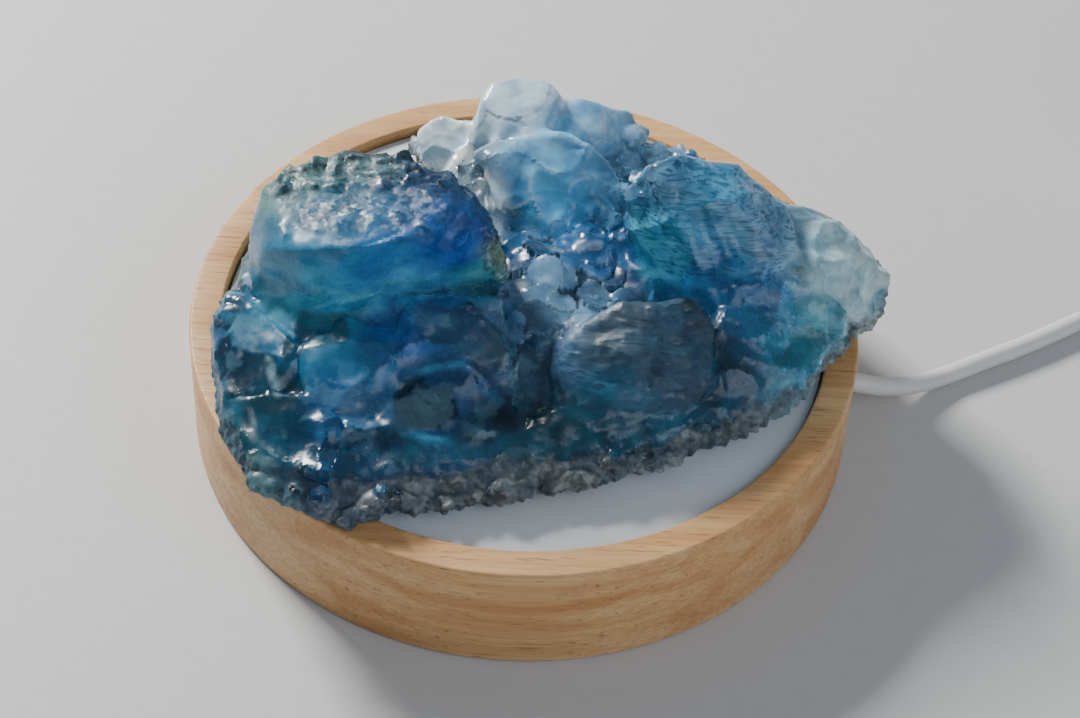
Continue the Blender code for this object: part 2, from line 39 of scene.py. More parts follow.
# Wooden base and diffuser
BASE_R, BASE_H = 50.0, 19.5
RECESS_R, LEDGE_R, FLOOR_H = 45.2, 42.0, 4.0
LEDGE_H = 15.0
DIFFUSER_R, DIFFUSER_LOW, DIFFUSER_TOP = 44.9, 15.3, 18.0
FOOT_EDGE, RIM_EDGE, SHEET_EDGE = 0.7, 0.5, 0.25
TURNED_STEPS = 288

# Cord: the lead's and tail's routes and the coil are those of the solids
CORD_D = 3.0
HOLE_Y, HOLE_Z, HOLE_D = 1.7, 6.5, 3.6
TABLE_Z = CORD_D / 2 + 0.1
COIL_AT = (121.0, 63.0)
COIL_R, COIL_PITCH = 18.0, 3.15
TURNS, TURN_POINTS, LED_OVER = 12, 28, 0.17
TURN_START, TURN_END = math.radians(-62), math.radians(-128)
LEAD = [
    (38, 1.7, 6.5), (45, 1.7, 6.5), (51, 1.7, 6.5), (55.5, 2.6, 5), (60.5, 5.2, 2.9), (66, 8.6, 1.6),
    (72.5, 12.3, 1.6), (80.8, 17, 1.6), (89.5, 22.6, 1.6), (99.5, 28.6, 1.6), (110, 34, 1.6),
]
PLUG_AT = (152.5, 48.0, 4.1)
TAIL = [
    (132.5, 35.5, 7.6), (142.5, 36, 5.6), (147.5, 37.3, 4.9), (151.2, 41, 4.4), (152.5, 45.5, 4.1),
    (152.5, 47.7, 4.1), (152.5, 50, 4.1),
]
ROUTE_STEP = 1.1

# The way on to the coil and off it: degrees, radius, and how far above the table or above the coil's top turn
COIL_ON = [(-92, 24.2, 0), (-78, 22.4, 0)]
COIL_OFF = [(-116, 22.3, 0), (-104, 24.3, -0.3), (-86, 25.6, -1.6)]

# Tie round the coil: the band's half width and thickness, its room round the turns and its place on the coil
TIE_HALF_WIDE, TIE_HALF_THICK = 1.8, 0.25
TIE_ROOM_BESIDE, TIE_ROOM_OVER, TIE_LIFT = 0.25, 0.15, 0.42
TIE_PLACE = math.radians(135)

# Plug: half the grip's width and half its thickness at each place along it
GRIP_LONG = 34
GRIP_SECTIONS = [
    (0, 2.1, 2.1), (0.4, 2.5, 2.5), (7.5, 3.0, 2.9), (9, 4.1, 3.2), (11.5, 7.2, 3.7), (14, 7.8, 4.0),
    (33, 7.8, 4.0), (GRIP_LONG, 7.1, 3.4),
]

# The grip's ribs and its finger dents: depth, pitch, start and end
GRIP_RIBS, GRIP_DENTS = (0.22, 1.6, 1, 7.6), (0.3, 2.2, 17, 29)
DENTS_HALF_WIDE = 4.6

# The plug's shell, and a window's size, its way off the middle and its share of the way along
SHELL_FROM, SHELL_LONG, SHELL_WALL, SHELL_EDGE = 34.3, 11.8, 0.4, 0.1
SHELL_HALF_WIDE, SHELL_HALF_THICK = 6.0, 2.25
WINDOW, WINDOW_ASIDE, WINDOW_ALONG = (2.4, 2.2, 7), 2.9, 0.48


def place_camera():
    """A camera at the photo's angle. It looks along a line turned down and right, and is rolled about it."""
    down, right, roll = (math.radians(v) for v in (CAMERA_DOWN, CAMERA_RIGHT, CAMERA_ROLL))
    ahead = Vector((math.sin(right) * math.cos(down), math.cos(right) * math.cos(down), -math.sin(down)))
    level = Vector((math.cos(right), -math.sin(right), 0))
    across = math.cos(roll) * level + math.sin(roll) * level.cross(ahead)
    up = across.cross(ahead)
    lens = bpy.data.cameras.new("camera")
    lens.sensor_width = SENSOR_WIDE
    lens.lens = CAMERA_LENS
    lens.clip_start = 0.01
    camera = bpy.data.objects.new("camera", lens)
    turn = Matrix((across, up, -ahead)).transposed().to_4x4()
    camera.matrix_world = Matrix.Translation(Vector(CAMERA_AT) * MM) @ turn
    bpy.context.scene.collection.objects.link(camera)
    bpy.context.scene.camera = camera


# Shapes


def make_piece(name, points, faces, finish, stands_for=(), sharp=35):
    """A closed mesh from points in mm and faces of point numbers, merged, turned outwards and dressed."""
    mesh = bpy.data.meshes.new(name)
    mesh.from_pydata(points * MM, [], faces)
    bm = bmesh.new()
    bm.from_mesh(mesh)
    bmesh.ops.remove_doubles(bm, verts=bm.verts, dist=1e-7)
    bmesh.ops.recalc_face_normals(bm, faces=bm.faces)
    bm.to_mesh(mesh)
    bm.free()
    mesh.shade_smooth()
    mesh.set_sharp_from_angle(angle=math.radians(sharp))
    made = bpy.data.objects.new(name, mesh)
    bpy.context.scene.collection.objects.link(made)
    return dress(made, finish, stands_for)


def dress(made, finish, stands_for=()):
    """Gives a piece its material, the body it rides on and the nodes that it stands for."""
    made.data.materials.clear()
    made.data.materials.append(finish)
    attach(made, "root")
    if stands_for:
        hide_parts(*stands_for)
    return made


def woven_faces(rows, columns, wrap_rows, wrap_columns):
    """Quads between neighbours on a grid of points, over its far edges too where it wraps."""
    number = np.arange(rows * columns).reshape(rows, columns)
    if wrap_rows:
        number = np.vstack([number, number[:1]])
    if wrap_columns:
        number = np.hstack([number, number[:, :1]])
    corners = (number[:-1, :-1], number[:-1, 1:], number[1:, 1:], number[1:, :-1])
    return np.stack([c.ravel() for c in corners], axis=1)


def surface(name, grid, finish, stands_for=(), wrap_rows=False, wrap_columns=True, sharp=35):
    """A piece whose skin is a grid of points (rows, columns, 3)."""
    rows, columns = grid.shape[:2]
    faces = woven_faces(rows, columns, wrap_rows, wrap_columns)
    return make_piece(name, grid.reshape(-1, 3), faces, finish, stands_for, sharp)


def arc(r, z, radius, start, end, steps=6):
    """Points (r, z) on a quarter or less of a circle about (r, z), from one angle in degrees to another."""
    angle = np.radians(np.linspace(start, end, steps))
    return np.stack([r + radius * np.cos(angle), z + radius * np.sin(angle)], axis=1)


def turned(profile):
    """A profile of (radius, height) carried round the Z axis: (r cos a, r sin a, z) at each even angle a."""
    profile = np.vstack(profile)
    angle = np.linspace(0, 2 * math.pi, TURNED_STEPS, endpoint=False)
    r, z = profile[:, :1], profile[:, 1:]
    return np.stack([r * np.cos(angle), r * np.sin(angle), z + 0 * angle], axis=2)


def cut(piece, name, size, centre, turn=None, sides=None):
    """Cuts a box out of a piece, or where sides is given a round bar, with its diameter and length."""
    bm = bmesh.new()
    place = Matrix.Translation(Vector(centre) * MM) @ (turn or Matrix())
    if sides:
        radius, depth = size[0] / 2 * MM, size[1] * MM
        bmesh.ops.create_cone(
            bm, segments=sides, radius1=radius, radius2=radius, depth=depth, cap_ends=True, matrix=place
        )
    else:
        bmesh.ops.create_cube(bm, size=MM, matrix=place @ Matrix.Diagonal((*size, 1)))
    mesh = bpy.data.meshes.new(name)
    bm.to_mesh(mesh)
    bm.free()
    cutter = bpy.data.objects.new(name, mesh)
    bpy.context.scene.collection.objects.link(cutter)
    modifier = piece.modifiers.new(name, "BOOLEAN")
    modifier.operation, modifier.solver, modifier.object = "DIFFERENCE", "EXACT", cutter
    keep_shape(piece)
    bpy.data.objects.remove(cutter)


def keep_shape(piece):
    """Puts what a piece's modifiers make of it into its mesh."""
    shape = bpy.data.meshes.new_from_object(piece.evaluated_get(bpy.context.evaluated_depsgraph_get()))
    piece.modifiers.clear()
    piece.data = shape


def even_path(points, step):
    """The smooth curve through some points, walked in even steps. Between each two it is the cubic whose
    slope at each point is half the way between that point's neighbours."""
    p = np.asarray(points, float)
    ends = np.vstack([2 * p[0] - p[1], p, 2 * p[-1] - p[-2]])
    t = np.linspace(0, 1, 16, endpoint=False)[:, None, None]
    a, b, c, d = ends[:-3], ends[1:-2], ends[2:-1], ends[3:]
    dense = (2 * b + (c - a) * t + (2 * a - 5 * b + 4 * c - d) * t**2 + (3 * b - a - 3 * c + d) * t**3) / 2
    dense = np.vstack([dense.transpose(1, 0, 2).reshape(-1, 3), p[-1:]])
    along = np.concatenate([[0], np.cumsum(np.linalg.norm(np.diff(dense, axis=0), axis=1))])
    goal = np.linspace(0, along[-1], max(2, round(along[-1] / step)))
    return np.stack([np.interp(goal, along, dense[:, k]) for k in range(3)], axis=1)


def tube(path, radius, around=16):
    """A round section carried along a path: at each angle a, path + radius (cos a side + sin a up), where
    side and up are square to the path there. Each end is drawn in to its point."""
    ahead = np.gradient(path, axis=0)
    ahead /= np.linalg.norm(ahead, axis=1, keepdims=True)
    side = np.cross(ahead, (0, 0, 1))
    side /= np.linalg.norm(side, axis=1, keepdims=True)
    up = np.cross(side, ahead)
    angle = np.linspace(0, 2 * math.pi, around, endpoint=False)[None, :, None]
    rings = path[:, None] + radius * (np.cos(angle) * side[:, None] + np.sin(angle) * up[:, None])
    first, last = (np.repeat(path[k][None, None], around, axis=1) for k in (0, -1))
    return np.concatenate([first, rings, last])


def rounded(half_wide, half_thick, squareness, around=64):
    """A rounded box's section about (0, 0): the superellipse |x/a|^n + |z/b|^n = 1."""
    angle = np.linspace(0, 2 * math.pi, around, endpoint=False)
    c, s = np.cos(angle), np.sin(angle)
    power = 2 / squareness
    wide = half_wide * np.sign(c) * abs(c) ** power
    thick = half_thick * np.sign(s) * abs(s) ** power
    return np.stack([wide, thick], axis=-1)


# Patterns from numbers that look random and never change. A salt tells one pattern's numbers from another's.

STIR_CELL = np.array([73856093, 19349663, 83492791])
STIR_SALT, STIR_AGAIN = 2654435761, 1274126177
KEPT_BITS = 0xFFFFF


def scatter(cells, salt):
    """A number from 0 to 1 for each whole-number cell: its counts times large numbers, added and folded."""
    n = (cells.astype(np.int64) * STIR_CELL).sum(-1) + salt * STIR_SALT
    n = (n ^ (n >> 13)) * STIR_AGAIN
    n = n ^ (n >> 16)
    return (n & KEPT_BITS) / KEPT_BITS


def noise(points, size, salt=0):
    """Smooth noise from -1 to 1, a swell to each size mm: a cell's eight corner values, blended across it."""
    p = points / size
    low = np.floor(p)
    t = p - low
    t = t * t * (3 - 2 * t)
    total = 0
    for corner in np.ndindex(2, 2, 2):
        share = np.prod(np.where(corner, t, 1 - t), axis=-1)
        total = total + share * scatter(low + corner, salt)
    return 2 * total - 1


def grown_noise(points, size, salt=0, octaves=3):
    """Noise at a size and at each half of it, half as strong each time."""
    total = sum(noise(points, size / 2**k, salt + k) / 2**k for k in range(octaves))
    return total / (2 - 0.5 ** (octaves - 1))


def wandered(points, by, size, salt, field=noise):
    """Points moved along each axis by a noise of its own, up to by mm, so that what is read there wanders."""
    return points + by * np.stack([field(points, size, salt + k) for k in range(3)], axis=1)


def druse(points, size, salt, half=0.5):
    """How deep each point lies in the deepest of many small cubes, in mm. Each cell of size mm has one cube,
    off its middle and turned at random. At q from its centre, along its own axes, the depth is
    half - max(|q|). Then a tone from 0 to 1, another one on each pair of the cube's faces."""
    p = points / size
    home = np.floor(p)
    depth, tone = np.full(len(p), -1.0), np.zeros(len(p))
    for step in np.ndindex(3, 3, 3):
        cell = home + step - 1
        draw = np.stack([scatter(cell, salt + k) for k in range(6)], axis=1)
        q = p - cell - 0.5 - 0.7 * (draw[:, :3] - 0.5)
        for k, (i, j) in enumerate(((0, 1), (1, 2), (2, 0))):
            angle = math.pi / 2 * draw[:, 3 + k]
            c, s = np.cos(angle), np.sin(angle)
            q[:, i], q[:, j] = c * q[:, i] - s * q[:, j], s * q[:, i] + c * q[:, j]
        q = abs(q)
        deeper = half - q.max(axis=1) > depth
        depth = np.where(deeper, half - q.max(axis=1), depth)
        tone = np.where(deeper, draw[np.arange(len(p)), 3 + q.argmax(axis=1)], tone)
    return depth * size, tone


def scoops(points, size, salt):
    """Shallow hollows that meet in sharp ridges, as on broken glass: the least, over the cells of size mm, of
    |q|^2 + q.g + h at q from a middle of the cell's own, with its own tilt g and level h. It is about -0.3 in
    a hollow and 0.4 on a ridge. Then a tone from 0 to 1 for the hollow."""
    p = points / size
    home = np.floor(p)
    height, tone = np.full(len(p), 9.0), np.zeros(len(p))
    for step in np.ndindex(3, 3, 3):
        cell = home + step - 1
        draw = np.stack([scatter(cell, salt + k) for k in range(7)], axis=1)
        q = p - cell - 0.5 - 0.8 * (draw[:, :3] - 0.5)
        level = (q * q).sum(1) + 0.9 * (q * (draw[:, 3:6] - 0.5)).sum(1) + 0.3 * (draw[:, 6] - 0.5)
        lower = level < height
        height = np.where(lower, level, height)
        tone = np.where(lower, draw[:, 5], tone)
    return height, tone


def plates(points, size, salt, across):
    """Round thin plates lying over each other, seen square to X and to a second direction. Each cell of size
    mm has a disc, off its middle and leaning its own way. The results are the height of the highest disc at
    a point, as a share of size, then 1 on that disc's rim and 0 off it, and the disc's tone from 0 to 1."""
    flat = points @ np.array([(1, 0, 0), across], float).T / size
    p = np.column_stack([flat, np.zeros(len(points))])
    home = np.floor(p)
    height, rim, tone = np.full(len(p), -0.3), np.zeros(len(p)), np.zeros(len(p))
    for step in np.ndindex(3, 3):
        cell = home + (*step, 0) - (1, 1, 0)
        draw = np.stack([scatter(cell, salt + k) for k in range(6)], axis=1)
        q = (p - cell)[:, :2] - 0.5 - 0.6 * (draw[:, :2] - 0.5)
        level = 0.3 * (draw[:, 4] - 0.5) + (q * (draw[:, 2:4] - 0.5)).sum(1) * 0.6
        inside = 0.5 + 0.35 * draw[:, 5] - np.linalg.norm(q, axis=1)
        over = (inside > 0) & (level > height)
        height = np.where(over, level, height)
        rim = np.where(over, np.clip(1 - inside / 0.08, 0, 1), rim)
        tone = np.where(over, draw[:, 3], tone)
    return height, rim, tone


def fibres(points, along, across, length, salt):
    """Fine wavering ridges along a direction: 1 - 2 |noise|, for a noise that is drawn out along it."""
    along = np.array(along) / np.linalg.norm(along)
    bent = wandered(points, 1.1, 5.0, salt)
    drawn = bent - (1 - across / length) * np.outer(bent @ along, along)
    return 1 - 2 * abs(noise(drawn, across, salt + 4))


def rays(points, apex, across, salt):
    """Ridges that fan out from a point: 1 - 2 |noise|, for a noise of the direction from it, set out on a
    ball of 15 mm, that hardly changes with the distance."""
    away = points - apex
    far = np.linalg.norm(away, axis=1, keepdims=True) + 1e-6
    ball, drift = 15, 0.08
    return 1 - 2 * abs(noise(ball * away / far + drift * far, across, salt))


def terraces(points, centre, ways, step):
    """Square growth steps about a point: the larger of the distances from it along two directions, a little
    uneven, folded into ramps from 0 to 1, each a step long."""
    reach = abs((points - centre) @ np.array(ways, float).T).max(axis=1) / step
    reach = reach + 0.35 * noise(points, 3.0, 90)
    return reach - np.floor(reach)


def beside(points, route, half):
    """How near each point lies to a route of straight stretches: 1 on it and 0 from half mm away."""
    near = np.zeros(len(points))
    for start, end in zip(route, route[1:]):
        a, b = np.array(start, float), np.array(end, float)
        t = np.clip((points - a) @ (b - a) / ((b - a) @ (b - a)), 0, 1)
        away = np.linalg.norm(points - a - t[:, None] * (b - a), axis=1)
        near = np.maximum(near, np.clip(1 - away / half, 0, 1))
    return near


def within(points, centre, reach, soft=0.35):
    """1 inside an ellipsoid and 0 outside it, with a soft edge this share of its reach wide."""
    away = np.linalg.norm((points - centre) / reach, axis=1)
    return np.clip((1 + soft - away) / soft, 0, 1) ** 2


def masked(mask, points, relief):
    """A relief worked out only where its mask isn't 0, and faded by the mask."""
    moved = np.zeros(len(points))
    near = mask > 0.01
    if near.any():
        moved[near] = mask[near] * relief(points[near])
    return moved


def soften(points, pairs, share, times):
    """Draws each point towards the middle of its neighbours, by its own share of the way, some times over."""
    count = np.bincount(pairs.ravel(), minlength=len(points))[:, None]
    for _ in range(times):
        total = np.stack([
            np.bincount(pairs[:, 0], points[pairs[:, 1], k], len(points))
            + np.bincount(pairs[:, 1], points[pairs[:, 0], k], len(points)) for k in range(3)
        ], axis=1)
        points = points + share[:, None] * (total / count - points)
    return points


# Materials


def colour(code):
    """An sRGB hex value as linear red, green, blue and a full alpha."""
    srgb = np.array([int(code[i : i + 2], 16) for i in (1, 3, 5)]) / 255
    linear = np.where(srgb <= 0.04045, srgb / 12.92, ((srgb + 0.055) / 1.055) ** 2.4)
    return (*(float(v) for v in linear), 1.0)


def add(tree, kind, inputs=(), **settings):
    """Adds a shader node with its settings. Its inputs map a socket to a value or another node's output."""
    made = tree.nodes.new("ShaderNode" + kind)
    for name, value in settings.items():
        setattr(made, name, value)
    for name, value in dict(inputs).items():
        if isinstance(value, bpy.types.NodeSocket):
            tree.links.new(value, made.inputs[name])
        else:
            made.inputs[name].default_value = value
    return made


def new_material(name, **sockets):
    """A material with one Principled shader, and its sockets' own values."""
    made = bpy.data.materials.new(name)
    made.use_nodes = True
    shader = made.node_tree.nodes["Principled BSDF"]
    for socket, value in sockets.items():
        shader.inputs[socket.replace("_", " ")].default_value = value
    return made, made.node_tree, shader


def pattern(tree, kind, scale, **rest):
    """A texture on Object coordinates. Its scale is how often it repeats in a metre along X, Y and Z, so 1000
    repeats a millimetre apart."""
    place = add(tree, "TexCoord").outputs["Object"]
    mapped = add(tree, "Mapping", {"Vector": place, "Scale": scale}).outputs["Vector"]
    inputs = {"Vector": mapped, "Scale": 1.0}
    inputs.update(rest)
    return add(tree, kind, inputs)


def facets(tree, repeats):
    """Flat facets: cells of a Voronoi pattern on Object coordinates, each tilted its own way. The height is
    the cell's random direction times the way from its middle. Then the cell's random tone."""
    place = add(tree, "TexCoord").outputs["Object"]
    at = add(tree, "Mapping", {"Vector": place, "Scale": (repeats,) * 3}).outputs["Vector"]
    cells = add(tree, "TexVoronoi", {"Vector": at, "Scale": 1.0}).outputs
    tilt = add(tree, "VectorMath", {0: cells["Color"], 1: (0.5, 0.5, 0.5)}, operation="SUBTRACT").outputs[0]
    away = add(tree, "VectorMath", {0: at, 1: cells["Position"]}, operation="SUBTRACT").outputs[0]
    height = add(tree, "VectorMath", {0: tilt, 1: away}, operation="DOT_PRODUCT").outputs["Value"]
    return height, cells["Color"]


def blend(tree, share, first, second, mode="MIX"):
    """One colour mixed into another by a share from 0 to 1."""
    mixed = add(tree, "Mix", {0: share, 6: first, 7: second}, data_type="RGBA", blend_type=mode)
    return mixed.outputs[2]


def spread(tree, value, low, high, to_low=0.0, to_high=1.0):
    """A value's range stretched to another one, and held at its ends."""
    return add(tree, "MapRange", {"Value": value, 1: low, 2: high, 3: to_low, 4: to_high}).outputs[0]


def wood():
    """Beech, turned and lightly oiled: pale, with darker rings 4 to 7 mm apart, fibres under a millimetre
    thick, and dark flecks 4 mm long and 0.3 mm wide along the grain."""
    made, tree, shader = new_material("turned_beech", Roughness=0.5, IOR=1.5)
    rings = pattern(tree, "TexNoise", (10, 150, 260), Detail=2.0, Distortion=0.5).outputs[0]
    grain = pattern(tree, "TexNoise", (60, 1500, 2200), Detail=3.0).outputs[0]
    flecks = pattern(tree, "TexNoise", (240, 3200, 3200), Detail=1.0).outputs[0]
    body = blend(tree, spread(tree, rings, 0.35, 0.68), colour("#E0B581"), colour("#C58F58"))
    body = blend(tree, spread(tree, grain, 0.35, 0.72, 0.0, 0.5), body, colour("#A97847"))
    dark = spread(tree, flecks, 0.63, 0.73)
    body = blend(tree, spread(tree, flecks, 0.63, 0.75, 0.0, 0.65), body, colour("#74492A"))
    tree.links.new(body, shader.inputs["Base Color"])
    tree.links.new(spread(tree, grain, 0.3, 0.8, 0.42, 0.6), shader.inputs["Roughness"])
    low = add(tree, "Math", {0: grain, 1: dark}, operation="SUBTRACT").outputs[0]
    relief = add(tree, "Bump", {"Strength": 0.35, "Distance": 0.08 * MM, "Height": low})
    tree.links.new(relief.outputs[0], shader.inputs["Normal"])
    return made


def opal():
    """Acrylic sheet, cast with white pigment and frosted: an even, faintly cloudy white with a soft shine.
    Its frosting is drawn 0.2 mm coarse so that it shows."""
    made, tree, shader = new_material("opal_acrylic", Roughness=0.42, IOR=1.49)
    cloud = pattern(tree, "TexNoise", (60, 60, 60), Detail=2.0).outputs[0]
    tree.links.new(blend(tree, cloud, colour("#D2D8DE"), colour("#DDE2E7")), shader.inputs["Base Color"])
    frost = pattern(tree, "TexNoise", (5000, 5000, 5000), Detail=2.0).outputs[0]
    relief = add(tree, "Bump", {"Strength": 0.1, "Distance": 0.02 * MM, "Height": frost})
    tree.links.new(relief.outputs[0], shader.inputs["Normal"])
    return made


def plain(name, code, roughness, speck, repeats=2500, metal=0.0, ior=1.5, strength=0.08):
    """A moulded, coated or woven surface: one colour with a faint mottle some 3 mm across, and the fine skin
    that its making left, of 0.4 to 1.1 mm."""
    made, tree, shader = new_material(name, Roughness=roughness, Metallic=metal, IOR=ior)
    mottle = pattern(tree, "TexNoise", (300, 300, 300), Detail=3.0).outputs[0]
    tree.links.new(blend(tree, mottle, colour(code), colour(speck)), shader.inputs["Base Color"])
    skin = pattern(tree, "TexNoise", (repeats,) * 3, Detail=2.0).outputs[0]
    rough = spread(tree, skin, 0.3, 0.7, roughness - 0.06, roughness + 0.08)
    tree.links.new(rough, shader.inputs["Roughness"])
    relief = add(tree, "Bump", {"Strength": strength, "Distance": 0.03 * MM, "Height": skin})
    tree.links.new(relief.outputs[0], shader.inputs["Normal"])
    return made


def fluorite():
    """Fluorite, as it grew: glassy faces over a see-through body, blue to teal in zones. Its index of 1.434
    is low, so it bends light less than glass does. The stone's attributes say what is where: tint is its
    colour, milk clouds its inside, frost dulls its skin, grain breaks the skin into crumbs 0.7 mm across,
    and lined rules it with dark growth lines, drawn 0.3 to 0.8 mm apart so that they show."""
    made, tree, shader = new_material("natural_fluorite", IOR=1.434, Roughness=0.1)
    tint = add(tree, "Attribute", attribute_name="tint").outputs["Color"]
    named = ("milk", "frost", "grain", "lined")
    milk, frost, grain, lined = (add(tree, "Attribute", attribute_name=n).outputs["Fac"] for n in named)
    cloud = pattern(tree, "TexNoise", (240, 240, 320), Detail=3.0).outputs[0]
    shade = blend(tree, 1.0, tint, colour("#7FA8C4"), "MULTIPLY")
    body = blend(tree, spread(tree, cloud, 0.4, 0.62, 0.0, 0.7), tint, shade)
    lines = pattern(tree, "TexNoise", (190, 1300, 3400), Detail=1.0, Distortion=0.4).outputs[0]
    drawn = add(tree, "Math", {0: lined, 1: lines}, operation="MULTIPLY").outputs[0]
    dark = blend(tree, 1.0, body, colour("#6C8AA0"), "MULTIPLY")
    body = blend(tree, spread(tree, drawn, 0.5, 0.62, 0.0, 0.7), body, dark)
    crumb, tone = facets(tree, 1500)
    shaded = spread(tree, tone, 0.2, 0.7, 0.7, 0.0)
    darker = add(tree, "Math", {0: grain, 1: shaded}, operation="MULTIPLY").outputs[0]
    body = blend(tree, darker, body, blend(tree, 1.0, body, colour("#56707C"), "MULTIPLY"))
    tree.links.new(body, shader.inputs["Base Color"])
    tree.links.new(spread(tree, milk, 0.0, 1.0, 0.9, 0.1), shader.inputs["Transmission Weight"])
    etch = pattern(tree, "TexNoise", (900, 900, 900), Detail=1.0).outputs[0]
    skin = add(tree, "Math", {0: frost, 1: etch}, operation="MULTIPLY").outputs[0]
    tree.links.new(spread(tree, skin, 0.0, 0.6, 0.06, 0.6), shader.inputs["Roughness"])
    raised = add(tree, "Math", {0: grain, 1: crumb}, operation="MULTIPLY").outputs[0]
    deep = 0.2 * MM
    rough = add(tree, "Bump", {"Strength": 1.0, "Distance": deep, "Height": raised}).outputs[0]
    relief = add(tree, "Bump", {"Strength": 0.5, "Distance": deep, "Height": drawn, "Normal": rough})
    tree.links.new(relief.outputs[0], shader.inputs["Normal"])
    inside = add(tree, "VolumeAbsorption", {"Color": colour("#7CC0E0"), "Density": 16.0})
    tree.links.new(inside.outputs[0], tree.nodes["Material Output"].inputs["Volume"])
    return made


# Base


def build_base():
    """The turned dish with its bore for the lead, and the opal sheet lying on its ledge."""
    rim_h, wall_mid = BASE_H - RIM_EDGE, (BASE_R + LEDGE_R) / 2
    dish = turned([
        (0, 0), (BASE_R - FOOT_EDGE, 0), arc(BASE_R - FOOT_EDGE, FOOT_EDGE, FOOT_EDGE, -90, 0),
        arc(BASE_R - RIM_EDGE, rim_h, RIM_EDGE, 0, 90), arc(RECESS_R + RIM_EDGE, rim_h, RIM_EDGE, 90, 180),
        (RECESS_R, LEDGE_H), (LEDGE_R, LEDGE_H), (LEDGE_R, FLOOR_H), (0, FLOOR_H),
    ])
    base = surface("turned_base", dish, wood(), ["wood_base"])
    bar = (HOLE_D, 20)
    cut(base, "bore", bar, (wall_mid, HOLE_Y, HOLE_Z), Matrix.Rotation(math.pi / 2, 4, "Y"), sides=32)
    sheet = turned([
        (0, DIFFUSER_LOW), (DIFFUSER_R, DIFFUSER_LOW),
        arc(DIFFUSER_R - SHEET_EDGE, DIFFUSER_TOP - SHEET_EDGE, SHEET_EDGE, 0, 90), (0, DIFFUSER_TOP),
    ])
    surface("opal_sheet", sheet, opal(), ["diffuser"])


# Cord and plug


def winding():
    """The coil's line: twelve turns, three to a layer. Each is held at its radius and height for most of a
    turn, and led over to the next one's in its last sixth."""
    radii = COIL_R + COIL_PITCH * np.array([1, 0, -1, -1, 0, 1, 1, 0, -1, -1, 0, 1, 1])
    heights = TABLE_Z + COIL_PITCH * np.array([0, 0, 0, 1, 1, 1, 2, 2, 2, 3, 3, 3, 3])
    sweep = 2 * math.pi * TURNS + TURN_END - TURN_START
    turns = np.linspace(0, sweep / (2 * math.pi), TURNS * TURN_POINTS)
    whole = np.minimum(np.floor(turns).astype(int), TURNS - 1)
    over = np.clip((turns - whole - 1 + LED_OVER) / LED_OVER, 0, 1)
    over = over * over * (3 - 2 * over)
    radius = radii[whole] + (radii[whole + 1] - radii[whole]) * over
    height = heights[whole] + (heights[whole + 1] - heights[whole]) * over
    angle = TURN_START + turns * 2 * math.pi
    x, y = COIL_AT[0] + radius * np.cos(angle), COIL_AT[1] + radius * np.sin(angle)
    return np.stack([x, y, height], axis=1)


def by_coil(places, level):
    """Points about the coil's middle, from the angle, radius and height over a level of each."""
    turned_by = [(math.radians(degrees), radius, level + over) for degrees, radius, over in places]
    return [(COIL_AT[0] + r * math.cos(a), COIL_AT[1] + r * math.sin(a), z) for a, r, z in turned_by]


def build_cord():
    """One lead from inside the base, over the table, round the coil and into the plug, and the coil's tie."""
    route = LEAD + by_coil(COIL_ON, TABLE_Z) + [tuple(p) for p in winding()]
    route += by_coil(COIL_OFF, TABLE_Z + 3 * COIL_PITCH) + TAIL
    path = even_path(route, ROUTE_STEP)
    pvc = plain("extruded_pvc", "#DCDCDA", 0.36, "#CFCFCD")
    cord = surface("lead", tube(path, CORD_D / 2), pvc, ["cord_lead", "cord_coil", "cord_tail"])
    tie = build_tie()
    grip, shell = build_plug()


def build_tie():
    """A flat band once round the coil's turns: a thin rounded strip carried along a rounded-box loop."""
    steps = 72
    around = np.linspace(0, 2 * math.pi, steps, endpoint=False)
    loop = rounded(COIL_PITCH * 1.5 + TIE_ROOM_BESIDE, COIL_PITCH * 2 + TIE_ROOM_OVER, 7, steps)
    out = np.stack([np.cos(around), np.sin(around)], axis=1)
    strip = rounded(TIE_HALF_WIDE, TIE_HALF_THICK, 4, 16)
    away = np.array([math.cos(TIE_PLACE), math.sin(TIE_PLACE), 0])
    along = np.array([-math.sin(TIE_PLACE), math.cos(TIE_PLACE), 0])
    middle = np.array([*COIL_AT, COIL_PITCH * 2 + TIE_LIFT]) + COIL_R * away
    plane = loop[:, None] + strip[None, :, 1:] * out[:, None]
    grid = middle + plane[..., :1] * away + plane[..., 1:] * np.array([0, 0, 1]) + strip[None, :, :1] * along
    fabric = plain("woven_hook_and_loop", "#C9CBCC", 0.8, "#B4B7B9", 1800, strength=0.5)
    return surface("cord_tie", grid, fabric, wrap_rows=True)


def build_plug():
    """The plug's two pieces that show."""
    return build_grip(), build_shell()


def notches(y, deep, pitch, start, end, low, high):
    """Grooves across a length: a sine of a pitch cut off to its low or its high half, between two places."""
    return deep * np.clip(np.sin(y * 2 * math.pi / pitch), low, high) * (y > start) * (y < end)


